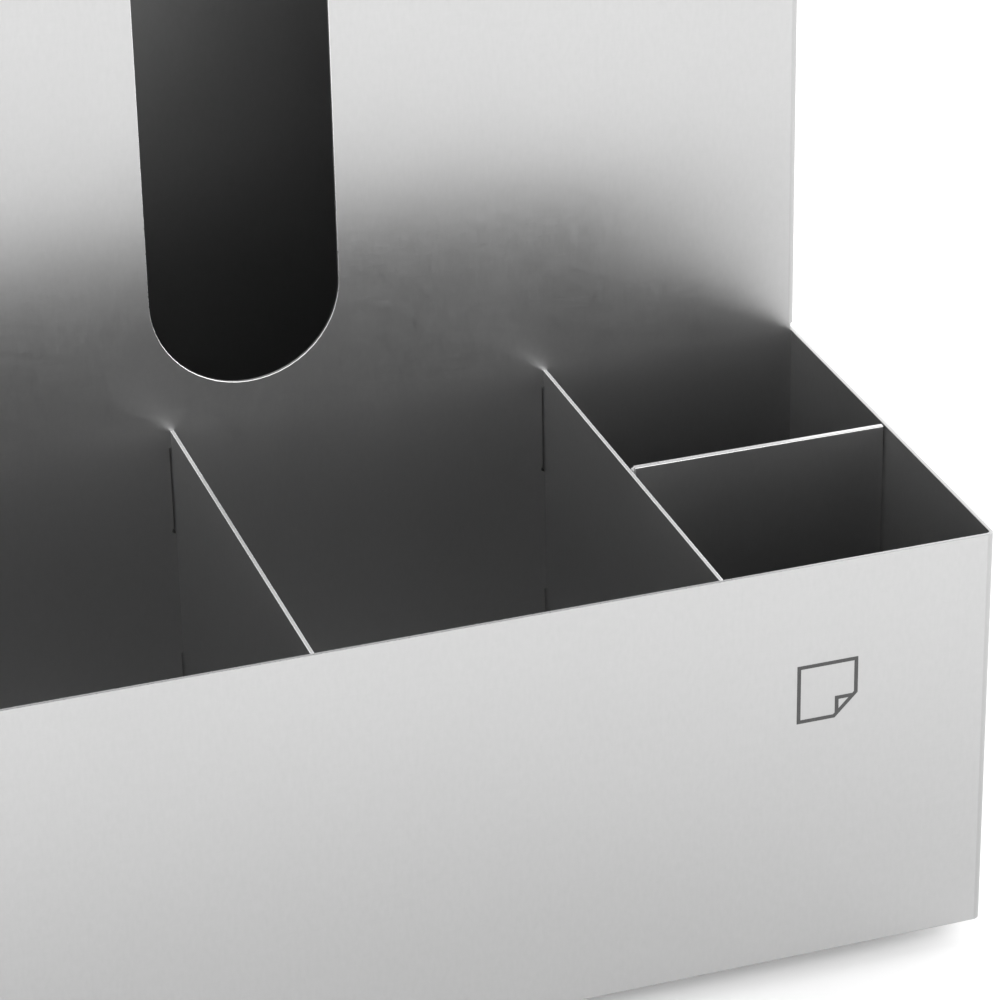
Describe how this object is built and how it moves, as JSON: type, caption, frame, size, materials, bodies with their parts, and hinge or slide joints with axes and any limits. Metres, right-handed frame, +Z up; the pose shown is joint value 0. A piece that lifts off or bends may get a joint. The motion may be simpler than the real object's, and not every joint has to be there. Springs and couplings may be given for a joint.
{
  "type": "napkin dispenser",
  "caption": "Open-topped napkin tower with a U-shaped thumb slot, and a low divided bin for condiments in front of it, in brushed stainless steel.",
  "frame": {"origin": "on the table, under the middle of the body", "axes": "+X to the right seen from the front, +Y from the bin to the napkin tower, +Z up"},
  "size_m": [0.303, 0.25, 0.25],
  "materials": {
    "brushed_stainless": "brushed, fine random scratches",
    "foot_rubber": "matte black",
    "plated_hardware": "zinc plated"
  },
  "bodies": {
    "root": {"bin_wrap": "brushed_stainless", "tower_front": "brushed_stainless", "back_panel": "brushed_stainless", "base_plate": "brushed_stainless", "left_divider": "brushed_stainless", "right_divider": "brushed_stainless", "cross_divider": "brushed_stainless", "front_left_foot": "foot_rubber", "front_right_foot": "foot_rubber", "rear_left_foot": "foot_rubber", "rear_right_foot": "foot_rubber", "foot_studs": "plated_hardware", "foot_washers": "plated_hardware", "foot_nuts": "plated_hardware"}
  },
  "joints": []
}
